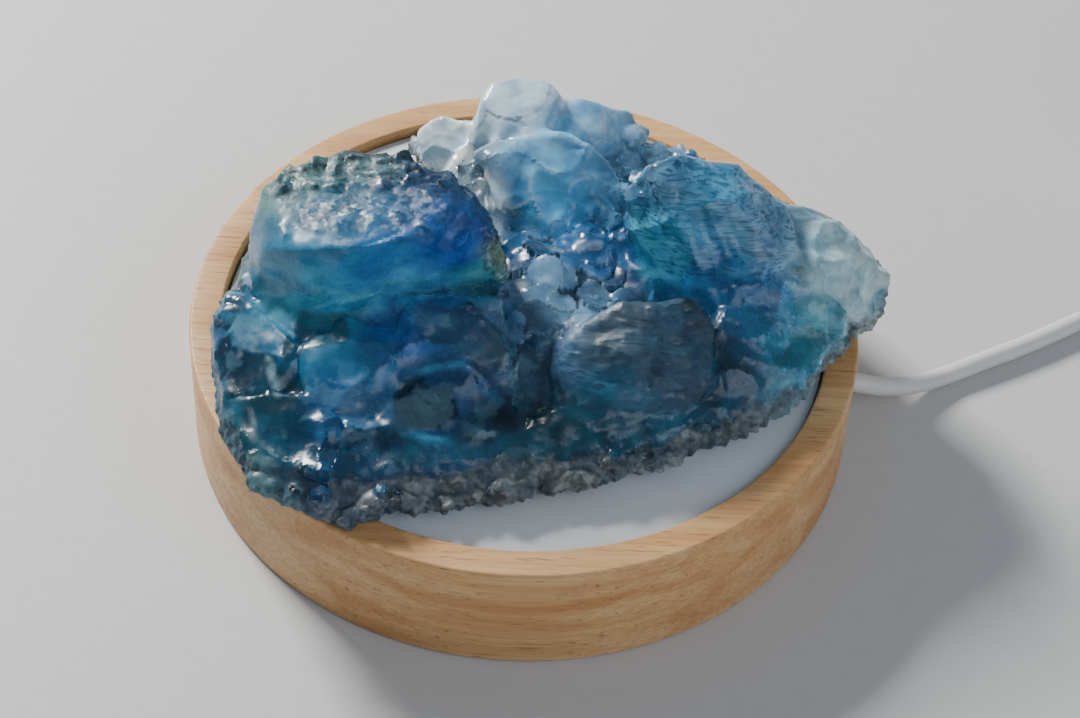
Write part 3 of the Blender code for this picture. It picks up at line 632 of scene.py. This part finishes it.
def build_grip():
    """The moulded grip: its rounded-box section swells from the round, ribbed nose, and is dented on its
    flats where fingers hold it."""
    x0, y0, z0 = PLUG_AT
    y = np.concatenate([[0], np.linspace(0, GRIP_LONG, 4 * GRIP_LONG + 1), [GRIP_LONG]])
    places, half_wides, half_thicks = zip(*GRIP_SECTIONS)
    half_w, half_t = np.interp(y, places, half_wides), np.interp(y, places, half_thicks)
    square = np.interp(y, [0, 7.5, 14, GRIP_LONG], [2.0, 2.2, 5.0, 6.0])
    ribs, dents = notches(y, *GRIP_RIBS, -1, 0), notches(y, *GRIP_DENTS, 0, 1)
    rings = np.stack([rounded(w, t, n) for w, t, n in zip(half_w + ribs, half_t + ribs, square)])
    flat = abs(rings[..., 0]) < DENTS_HALF_WIDE
    rings[..., 1] -= np.sign(rings[..., 1]) * flat * dents[:, None]
    rings[0] = rings[-1] = 0
    grid = np.stack([x0 + rings[..., 0], y0 + y[:, None] + 0 * rings[..., 0], z0 + rings[..., 1]], axis=2)
    pvc = plain("moulded_pvc", "#E0E0DE", 0.33, "#D4D4D2")
    return surface("moulded_grip", grid, pvc, ["plug_grip"], sharp=50)


def build_shell():
    """The folded metal shell: a rounded box carried along its length, turned in at its mouth, with two
    windows cut through it. A row without an inset is drawn in to the middle, which closes the end."""
    x0, y0, z0 = PLUG_AT
    start, wall = y0 + SHELL_FROM, SHELL_WALL
    outside = [(0, None), (0, SHELL_EDGE), (SHELL_EDGE, 0), (SHELL_LONG, 0)]
    inside = [(SHELL_LONG, wall), (wall, wall), (wall, None)]
    rows = []
    for along, inset in outside + inside:
        ring = rounded(SHELL_HALF_WIDE - (inset or 0), SHELL_HALF_THICK - (inset or 0), 12)
        ring = ring * (0 if inset is None else 1)
        rows.append(np.stack([x0 + ring[:, 0], np.full(len(ring), start + along), z0 + ring[:, 1]], axis=1))
    nickel = plain("nickel_plated_steel", "#C4C3BE", 0.26, "#B4B3AD", 900, metal=1.0)
    shell = surface("folded_shell", np.stack(rows), nickel, ["plug_shell"], sharp=30)
    for side in (-1, 1):
        cut(shell, "window", WINDOW, (x0 + side * WINDOW_ASIDE, start + SHELL_LONG * WINDOW_ALONG, z0))
    return shell


# Stone

STONE_LOW = BASE_H + 0.3
STONE_CELL = 0.41
STONE_TRIANGLES = 195000

# A side whose way out has a Z below this is underneath, and its triangles are given up this much sooner
UNDERSIDE, GIVEN_UP_SOONER = -0.9, 1000

# The turn in degrees from which an edge is sharp
RIDGE_TURN = 17

# The height of the broken foot's upper border, about which it wavers
FOOT_TOP = 24.6

# Parts of the stone: middle and reach in mm
AREAS = {
    "block": ((-22, -4, 40), (20, 11, 8)), "block_top": ((-22, 0, 46), (19, 10, 4)),
    "block_edge": ((-4.5, -4, 39), (2.5, 5, 6)), "valley": ((5, -5, 31), (8, 12, 4)),
    "nook": ((11, 9, 33), (6, 6, 4)), "hump": ((16, -19, 33), (12, 8, 6)),
    "apex": ((27, 2, 39), (12, 10, 9)), "terraced": ((36, -9, 30), (9, 8, 7)),
    "end": ((47, 3, 29), (7, 9, 8)), "back": ((1, 25, 38), (14, 7, 7)),
    "slabs": ((4, 13, 36), (10, 6, 6)), "plate": ((-14, 28, 28), (6, 5, 5)),
    "flank": ((-36, -23, 28), (8, 14, 9)),
}

# How far each part is rounded off: the share of the way to its neighbours that a point is drawn each time
ROUNDED = {
    "block": 0.06, "back": 0.5, "plate": 0.4, "hump": 0.2, "end": 0.04, "apex": 0.02, "valley": 0.75,
    "nook": 0.3,
}
ROUNDED_ELSEWHERE, ROUNDED_FOOT, ROUNDED_MOST = 0.02, 0.4, 0.75
ROUNDINGS = 24

# How much cloudier inside, and how much duller outside, each part is than the rest
MILK_ELSEWHERE, FROST_ELSEWHERE = 0.3, 0.46
MILK = {
    "block": 0.15, "back": 0.5, "plate": 0.7, "slabs": 0.35, "end": 0.3, "apex": 0.1, "hump": 0.2,
    "valley": 0.1, "foot": 0.3,
}
FROST = {
    "foot": 0.5, "hump": 0.6, "flank": -0.05, "block_top": 0.35, "end": -0.2, "apex": -0.15, "back": -0.3,
    "slabs": -0.2, "plate": -0.3,
}

# The second direction of the plates' pattern, beside X: over level ground, and up the back's slope
LEVEL, SLOPING = (0, 1, 0), (0, 0.8, 0.6)

# Reliefs, which the stone's shape and its tones share: depth, pattern, the pattern's size in mm and its salt
RELIEFS = {
    "face_scoops": (2.3, scoops, 6.5, 24), "face_chips": (0.5, scoops, 2.3, 31),
    "top_cubes": (0.28, druse, 1.1, 20), "edge_cubes": (0.9, druse, 1.3, 26),
    "block_cubes": (0.05, druse, 6.0, 22), "valley_plates": (3.2, plates, 3.8, 30, LEVEL),
    "nook_cubes": (0.5, druse, 3.4, 34), "hump_cubes": (0.2, druse, 6.0, 35),
    "apex_cubes": (0.25, druse, 9.0, 12), "apex_scoops": (3.2, scoops, 10.0, 27),
    "terrace_scoops": (0.8, scoops, 5.0, 28), "end_cubes": (0.25, druse, 2.6, 15),
    "end_scoops": (2.6, scoops, 5.5, 14), "slab_plates": (1.6, plates, 9.0, 16, SLOPING),
    "back_plates": (0.5, plates, 8.0, 18, SLOPING), "foot_cubes": (1.2, druse, 1.5, 40),
}

# How far the reliefs wander, over what size, and the salt. Then how the broken faces' scoops are drawn out
SKEW = (0.8, 3.0, 50)
CHIPPED = np.array([0.75, 1.0, 1.35])

# The way of the hump's fibres, where the apex's rays start, and the growth steps' middle and two directions
FIBRES_WAY, RAYS_FROM = (0.9, -0.2, 0.3), (18, 8, 47)
STEPS_FROM, STEPS_WAYS = (35, -11, 30), [(1, 0.1, -0.1), (0, 0.6, 0.8)]

# How much lighter the tints are than the zones' colours, for the light that is lost inside
TINT_LIFT = 1.3

# Narrow open cuts across the faces: route and half width
CUTS = [
    ([(-24.5, -13.6, 44.6), (-18, -11, 46.2)], 0.6), ([(-2.5, 14, 37), (2, 17, 40), (8, 16, 38.5)], 0.6),
    ([(-31.5, -20, 31.5), (-36, -26, 28), (-42, -25.5, 25.5)], 0.5),
    ([(-23.5, -32, 26.5), (-13.5, -23.5, 30.5)], 0.5),
]
CUT_DEPTH = 0.25

# Pale streaks, partly the stone's own paler bands and partly painted reflections where light comes back from
# inside: route, half width, colour and strength
STREAKS = [
    ([(-38, -12, 31), (-30, -13, 33), (-22, -13, 34.5), (-15, -11, 34.5), (-6, -8, 34)],
     2.6, "#78D2DC", 0.95),
    ([(-33, -13, 32), (-27, -19, 32.5), (-22, -26, 31)], 2.6, "#58B8D8", 0.7),
    ([(-24, -25, 31), (-14, -23, 31), (-9, -22, 31), (-3, -25, 28)], 0.8, "#5CB4E4", 0.9),
    ([(-28, -33, 27), (-20, -31, 28), (-10, -32, 26)], 1.0, "#4CA8D8", 0.7),
    ([(-36, -21, 29.5), (-34, -26, 28.5)], 0.9, "#CDEEF4", 1.0),
    ([(-38, -28, 26), (-37, -32, 25)], 0.9, "#D2C2B0", 0.9),
    ([(-41, -14, 28), (-40, -19, 28)], 0.8, "#BCC9D2", 0.9),
    ([(5, -14, 33.5), (9, -16, 34.5), (13, -13, 36.5)], 0.8, "#BAC8CE", 0.9),
    ([(17, 0, 41), (17, -1, 36)], 2.2, "#58D8E2", 0.9),
    ([(0, 1, 33), (6, 1, 33), (12, 2, 33)], 1.0, "#A4B2BA", 0.8),
]

# Soft zones of colour: middle, reach in mm, and colour of each
ZONES = [
    ((-33, 2, 45), 7, "#7AA39C"), ((-24, 4, 46), 6, "#6F9A9E"), ((-14, 1, 46), 6, "#2C5C84"),
    ((-8, -2, 44), 4, "#265F86"), ((-28, -7, 44), 7, "#3E8CB4"), ((-19, -7, 47), 5, "#3A80B4"),
    ((-11, -9, 43), 6, "#1A60C0"), ((-22, -13, 41), 5, "#3088D4"), ((-16, -12, 37), 5, "#5CBCF0"),
    ((-28, -12, 36), 5, "#50B2DC"), ((-35, -11, 34), 5, "#58AACC"), ((-40, -5, 37), 4, "#98A8C4"),
    ((-4, -5, 39), 3, "#8A9C6A"), ((-7, -9, 36), 3, "#54AEB4"), ((-17, -15, 33), 5, "#1E6CCC"),
    ((-10, -15, 35), 4, "#3068A4"), ((-30, -17, 32), 5, "#3A98C0"), ((-40, -18, 27), 5, "#37799E"),
    ((-38, -28, 25), 5, "#2E6478"), ((-32, -33, 25), 4, "#1C4E6C"), ((-36, -36, 22), 4, "#34707E"),
    ((-22, -24, 30), 5, "#2064A0"), ((-12, -27, 29), 5, "#103C6C"), ((-5, -30, 26), 4, "#184A6A"),
    ((-22, -34, 25), 5, "#2468A0"), ((-10, -35, 24), 5, "#24608A"), ((4, -30, 25), 5, "#2E6C84"),
    ((14, -28, 27), 6, "#3A7C98"), ((4, -8, 32), 5, "#7CA6C4"), ((3, -15, 30), 6, "#5580A4"),
    ((0, 3, 33), 4, "#2C6898"), ((9, 3, 32), 5, "#28649A"),
    ((12, -17, 35), 5, "#3E5868"), ((20, -18, 34), 6, "#30546C"), ((25, -13, 34), 4, "#2E4858"),
    ((19, 3, 43), 4, "#74B0D4"), ((20, 0, 38), 4, "#66D4F4"), ((27, 2, 40), 5, "#5CAED4"),
    ((35, 5, 36), 6, "#94C2DC"), ((27, -6, 34), 5, "#3490CC"), ((34, -9, 31), 5, "#2E6C9C"),
    ((38, -12, 27), 5, "#4498A8"), ((31, -17, 28), 4, "#22506E"), ((44, -7, 26), 4, "#66B0BC"),
    ((43, 3, 33), 5, "#C4EAF2"), ((50, 3, 28), 6, "#DCF6F4"), ((-2, 27, 41), 5, "#D8EEFC"),
    ((-4, 22, 37), 4, "#D4F2FF"), ((9, 27, 36), 5, "#9CD0F2"), ((4, 17, 38), 6, "#88CEF6"),
    ((5, 10, 34), 5, "#4CA8DA"), ((12, 12, 34), 5, "#70ACD0"), ((-9, 14, 31), 5, "#D4EEFA"),
    # The plate's near-white at (-14, 28, 29) is partly its pale colour and partly painted light from behind
    # shining through it.
    ((-14, 28, 29), 5, "#F4FCFF"), ((24, 24, 27), 7, "#84B8DA"), ((-30, 12, 32), 8, "#7EA8A2"),
]


def stone_parts(p):
    """How far each point belongs to each part of the stone, from 0 to 1: to each area, to the foot with its
    uneven border, and to the broken faces, which are what the larger areas leave."""
    part = {name: within(p, middle, reach) for name, (middle, reach) in AREAS.items()}
    border = FOOT_TOP + 0.8 * noise(p, 3.0, 66) + 0.6 * noise(p, 1.0, 67)
    part["foot"] = np.clip((border - p[:, 2]) / 0.8, 0, 1)
    marked = sum(part[name] for name in ("block", "valley", "nook", "hump", "apex", "end", "back", "foot"))
    part["faces"] = np.clip(1 - marked, 0, 1)
    return part


def crusted(p):
    """How much of its crust of small cubes the block has: all from its middle back, a tenth at its front."""
    return np.clip((p[:, 1] + 9) / 9, 0.1, 1)


def grown(name, points):
    """What a relief's pattern gives at some points: its height first, then its tones."""
    _, made_by, *settings = RELIEFS[name]
    return made_by(points, *settings)


def raised(name, points):
    """A relief's height at some points: its depth times what its pattern gives."""
    return RELIEFS[name][0] * grown(name, points)[0]


def held(name, points, low, high):
    """A relief of small cubes, held between two limits so that gaps stay shallow and corners blunt."""
    return RELIEFS[name][0] * np.clip(grown(name, points)[0] + 0.1, low, high)


def shape_stone(p, up, part):
    """How far each point of the stone moves out, in mm. It swells slowly everywhere. The broken faces, the
    apex, the terraced part and the end are scooped, with smaller chips here and there. The block's top and
    edge, the nook and the foot carry cubes, and the valley, the slabs and the back carry plates. Fibres run
    over the hump, rays over the apex, growth steps over the terraced part, and narrow cuts over the faces."""
    above = 1 - part["foot"]
    valley, nook, hump, apex, terraced, end = (
        above * part[name] for name in ("valley", "nook", "hump", "apex", "terraced", "end")
    )
    foot = part["foot"] * np.clip((0.8 - up) / 0.3, 0, 1) * np.clip(p[:, 0] / 10 + 3.4, 0.5, 1)
    top = part["block_top"] * np.clip((up - 0.25) / 0.4, 0, 1) * crusted(p)
    faces = part["faces"] * (1 - 0.6 * part["flank"])
    chips = (faces * (1 - part["flank"]) + 0.6 * part["apex"]) * np.clip(0.2 + 2.5 * noise(p, 6.0, 29), 0, 1)
    skewed = wandered(p, *SKEW)
    chipped = skewed * CHIPPED

    out_by = 0.08 * noise(p, 7.0, 1) + 0.03 * noise(p, 2.2, 2)
    out_by += masked(faces, chipped, lambda q: raised("face_scoops", q) - 0.4)
    out_by += masked(chips, chipped, lambda q: raised("face_chips", q))
    out_by += masked(top, p, lambda q: held("top_cubes", q, -0.2, 0.5))
    out_by += masked(part["block_edge"], p, lambda q: held("edge_cubes", q, -0.3, 0.7))
    out_by += masked(part["block"], skewed, lambda q: raised("block_cubes", q) + 0.04 * noise(q, 1.6, 23))
    out_by += masked(valley, p, lambda q: raised("valley_plates", q))
    out_by += masked(nook, p, lambda q: raised("nook_cubes", q))
    out_by += masked(hump, p, lambda q: 0.13 * fibres(q, FIBRES_WAY, 1.0, 2.4, 120) + raised("hump_cubes", q))
    out_by += masked(apex, p, lambda q: 0.12 * rays(q, RAYS_FROM, 0.9, 130) + raised("apex_cubes", q))
    out_by += masked(apex, chipped, lambda q: raised("apex_scoops", q) - 0.4)
    out_by -= masked(terraced, skewed, lambda q: 0.14 * terraces(q, STEPS_FROM, STEPS_WAYS, 2.1))
    out_by += masked(terraced, skewed, lambda q: raised("terrace_scoops", q) - 0.1)
    out_by += masked(end, skewed, lambda q: raised("end_cubes", q) + raised("end_scoops", q) - 0.3)
    out_by += masked(part["slabs"], p, lambda q: raised("slab_plates", q))
    out_by += masked(part["back"], p, lambda q: raised("back_plates", q) + 0.06 * noise(q, 1.2, 142))
    out_by += masked(foot, p, lambda q: held("foot_cubes", q, -0.4, 0.7) + 0.5 * noise(q, 3.4, 3))
    for route, half in CUTS:
        out_by -= CUT_DEPTH * beside(p, route, half)
    return out_by


def towards(tint, share, code):
    """A tint moved to another colour by a share for each point."""
    return tint + share[:, None] * (np.array(colour(code)[:3]) - tint)


def zone_tint(p):
    """The zones' colours mixed by nearness: a zone's share is exp(-1.6 d^2) at d reaches from its middle."""
    near = [np.exp(-1.6 * (((p - middle) / reach) ** 2).sum(1)) + 1e-9 for middle, reach, _ in ZONES]
    near = np.stack(near, axis=1)
    return near @ np.array([colour(code)[:3] for *_, code in ZONES]) / near.sum(1, keepdims=True)


def relief_tint(p, part, tint):
    """A tint as the reliefs change it: each scoop, plate and small cube has its own tone, the gaps between
    cubes are darkened as painted shade, and the plates' rims are paled as painted highlights."""
    skewed = wandered(p, *SKEW)
    tone = 0.9 * grown("face_scoops", skewed * CHIPPED)[1] - 0.76
    tone = part["faces"] * (tone + 0.45 * part["terraced"] + 0.45 * part["slabs"])
    tone += 0.5 * part["apex"] * (grown("apex_scoops", skewed * CHIPPED)[1] - 0.5)
    tone += 0.3 * part["end"] * (grown("end_scoops", skewed)[1] - 0.4)
    tint = TINT_LIFT * tint * (1 + tone)[:, None]
    # Painted shade: the gaps between the block top's small cubes are darkened.
    deep, shade = grown("top_cubes", p)
    darker = 0.35 - 1.3 * np.clip(deep, -0.3, 0.4) - 0.4 * (shade - 0.5)
    tint = tint * (1 - part["block_top"] * crusted(p) * darker)[:, None]
    _, rim, shade = grown("valley_plates", p)
    tint = tint * (1 + part["valley"] * (1.3 * shade - 0.55))[:, None]
    # Painted highlights: the rims of the valley's, the slabs' and the back's plates are paled.
    tint = towards(tint, 0.6 * part["valley"] * rim, "#C4D4DE")
    tint = towards(tint, 0.5 * part["slabs"] * grown("slab_plates", p)[1], "#E4F2F8")
    return towards(tint, 0.6 * part["back"] * grown("back_plates", p)[1], "#FFFFFF")


def colour_stone(p, part):
    """What the material reads at each point. The tint is the zones' colours with warped borders, then the
    reliefs' tones with their painted shade and highlights, pale veils, streaks that are partly the stone's
    own bands and partly painted reflections, a paler seam over the foot, and speckled grey on the foot.
    Milk, frost, grain and lined say how far the point is clouded, dulled, crumbly and ruled with growth
    lines."""
    warped = wandered(p, 2.2, 5.0, 60, grown_noise)
    tint = relief_tint(p, part, zone_tint(warped))
    broken = np.clip(0.5 + 1.2 * grown_noise(warped, 2.4, 80), 0, 1)
    veil = np.clip(6 * grown_noise(warped * (1, 1.5, 2.4), 6.0, 85, 4) - 1.6, 0, 0.22)
    veil = (1 - part["hump"]) * (1 - part["block"]) * veil
    tint = towards(tint, veil, "#A6DCEC")
    # The streaks: the stone's own paler bands, and painted reflections from inside.
    for route, half, code, strength in STREAKS:
        near = strength * beside(p + 0.3 * (warped - p), route, half) ** 0.6 * broken
        tint, veil = towards(tint, near, code), np.maximum(veil, near)
    seam = np.clip(1 - abs(FOOT_TOP + 1 - p[:, 2]) / 1.2, 0, 1)
    tint = towards(tint, 0.5 * broken * seam, "#5CB8DE")
    grey = part["foot"] * np.clip((p[:, 0] + 34) / 8, 0.25, 1)
    speck = scoops(p, 1.2, 68)[1]
    tint = towards(tint, 0.85 * grey, "#9C9E9A") * (1 + grey * (0.9 * speck - 0.5))[:, None]
    tint = tint / np.maximum(1, tint.max(axis=1, keepdims=True))
    patchy = 0.15 * noise(p, 4.0, 70)
    milk = MILK_ELSEWHERE + patchy + 0.5 * veil + sum(more * part[name] for name, more in MILK.items())
    frost = FROST_ELSEWHERE + patchy + sum(more * part[name] for name, more in FROST.items())
    low = (1 - part["foot"]) * np.clip(1.3 + 0.8 * noise(p, 3.0, 71) - (p[:, 2] - FOOT_TOP) / 2.4, 0, 1)
    grain = 0.6 * part["foot"] + 0.55 * low + 0.75 * part["block_top"]
    grain = grain + part["block_edge"] + 0.15 * part["end"]
    lined = part["apex"] + 0.85 * part["hump"] + 0.6 * part["terraced"]
    return {"tint": tint, "milk": milk, "frost": frost, "grain": grain, "lined": lined}


def remake_stone():
    """A copy of the stone's solid, merged, remade in even small cells and thinned, mostly underneath."""
    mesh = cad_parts["fluorite_cluster"].data.copy()
    bm = bmesh.new()
    bm.from_mesh(mesh)
    bmesh.ops.remove_doubles(bm, verts=bm.verts, dist=1e-6)
    bm.to_mesh(mesh)
    bm.free()
    mesh.materials.clear()
    stone = bpy.data.objects.new("fluorite", mesh)
    bpy.context.scene.collection.objects.link(stone)
    cells = stone.modifiers.new("cells", "REMESH")
    cells.mode, cells.voxel_size = "VOXEL", STONE_CELL * MM
    keep_shape(stone)

    _, out = read_points(stone.data)
    under = stone.vertex_groups.new(name="under")
    under.add([int(i) for i in np.flatnonzero(out[:, 2] < UNDERSIDE)], 1.0, "REPLACE")
    thin = stone.modifiers.new("thin", "DECIMATE")
    thin.vertex_group, thin.vertex_group_factor = "under", GIVEN_UP_SOONER
    thin.ratio = min(1.0, STONE_TRIANGLES / (2 * len(stone.data.polygons)))
    keep_shape(stone)
    return stone


def build_stone():
    """The stone. Its form is the solid's own, because crystals that grow over and under each other are no
    surface of two parameters: the remade copy is rounded off, moved as whole arrays and coloured."""
    stone = remake_stone()
    first, out = read_points(stone.data)
    part = stone_parts(first)
    pairs = np.empty(2 * len(stone.data.edges), np.int32)
    stone.data.edges.foreach_get("vertices", pairs)
    share = ROUNDED_ELSEWHERE + (ROUNDED_FOOT - ROUNDED_ELSEWHERE) * part["foot"]
    share += sum((by - ROUNDED_ELSEWHERE) * part[name] * (1 - part["foot"]) for name, by in ROUNDED.items())
    share *= out[:, 2] > UNDERSIDE
    move_points(stone.data, soften(first, pairs.reshape(-1, 2), np.clip(share, 0, ROUNDED_MOST), ROUNDINGS))
    p, out = read_points(stone.data)
    move_points(stone.data, p + out * shape_stone(first, out[:, 2], part)[:, None])

    looks = {name: np.clip(values, 0, 1) for name, values in colour_stone(first, part).items()}
    tint = stone.data.color_attributes.new("tint", "FLOAT_COLOR", "POINT")
    tint.data.foreach_set("color", np.hstack([looks.pop("tint"), np.ones((len(p), 1))]).ravel())
    for name, values in looks.items():
        stone.data.attributes.new(name, "FLOAT", "POINT").data.foreach_set("value", values)
    stone.data.shade_smooth()
    stone.data.set_sharp_from_angle(angle=math.radians(RIDGE_TURN))
    dress(stone, fluorite(), ["fluorite_cluster"])


def read_points(mesh):
    """A mesh's points in mm, and the way out at each."""
    p = np.empty(len(mesh.vertices) * 3)
    mesh.vertices.foreach_get("co", p)
    out = np.empty(len(mesh.vertices) * 3)
    mesh.vertex_normals.foreach_get("vector", out)
    return p.reshape(-1, 3) / MM, out.reshape(-1, 3)


def move_points(mesh, p):
    """Puts a mesh's points at new places in mm, none of them below the rim that the stone lies on."""
    lying = np.column_stack([p[:, :2], np.maximum(p[:, 2], STONE_LOW)])
    mesh.vertices.foreach_set("co", (lying * MM).ravel())
    mesh.update()


# Studio: half the floor's side in mm

FLOOR_HALF = 900


def light_area(name, place, power, size, warmth):
    """A square lamp that faces the middle: place in metres, power in watts, side in metres, and colour."""
    lamp = bpy.data.lights.new(name, "AREA")
    lamp.energy, lamp.size, lamp.color = power, size, colour(warmth)[:3]
    lit = bpy.data.objects.new(name, lamp)
    lit.location = place
    lit.rotation_euler = (-Vector(place)).to_track_quat("-Z", "Y").to_euler()
    bpy.context.scene.collection.objects.link(lit)


def build_studio():
    """A plain pale floor, a soft key from behind on the left, a weak fill, and an even pale surround."""
    points = FLOOR_HALF * np.array([(-1, -1, 0), (1, -1, 0), (1, 1, 0), (-1, 1, 0)], float)
    mesh = bpy.data.meshes.new("floor")
    mesh.from_pydata(points * MM, [], [(0, 1, 2, 3)])
    floor = bpy.data.objects.new("floor", mesh)
    bpy.context.scene.collection.objects.link(floor)
    mesh.materials.append(plain("painted_table", "#C9CACB", 0.55, "#C2C3C4", 1200))
    light_area("key", (-0.43, 0.48, 0.47), 12.5, 0.2, "#FFFDF8")
    light_area("fill", (0.5, -0.5, 0.5), 2.6, 0.6, "#F4F8FF")
    world = bpy.data.worlds.new("surround")
    world.use_nodes = True
    sky = world.node_tree.nodes["Background"]
    sky.inputs[0].default_value = colour("#C8D2DC")
    sky.inputs[1].default_value = 0.35
    bpy.context.scene.world = world


def finish_hidden():
    """Finishes for the nodes that stay as they are: the board, its chips and the plug's insert."""
    board = plain("solder_masked_board", "#E4E5E2", 0.45, "#D9DAD6")
    chips = plain("phosphor_chip", "#DCC46A", 0.4, "#D2B85A")
    insert = plain("moulded_nylon", "#D8D8D5", 0.45, "#CECECB")
    finishes = {"light_board": board, "plug_tongue": insert}
    for name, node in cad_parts.items():
        chosen = chips if name.startswith("light_chip") else finishes.get(name)
        if chosen:
            node.data.materials.clear()
            node.data.materials.append(chosen)


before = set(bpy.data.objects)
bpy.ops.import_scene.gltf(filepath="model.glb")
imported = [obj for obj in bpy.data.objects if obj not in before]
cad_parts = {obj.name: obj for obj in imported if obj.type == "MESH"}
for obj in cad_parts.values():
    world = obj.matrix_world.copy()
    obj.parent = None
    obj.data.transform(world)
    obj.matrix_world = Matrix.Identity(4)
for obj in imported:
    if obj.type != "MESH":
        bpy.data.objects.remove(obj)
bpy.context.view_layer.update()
place_camera()
build_cord()
build_base()
build_stone()
finish_hidden()
build_studio()
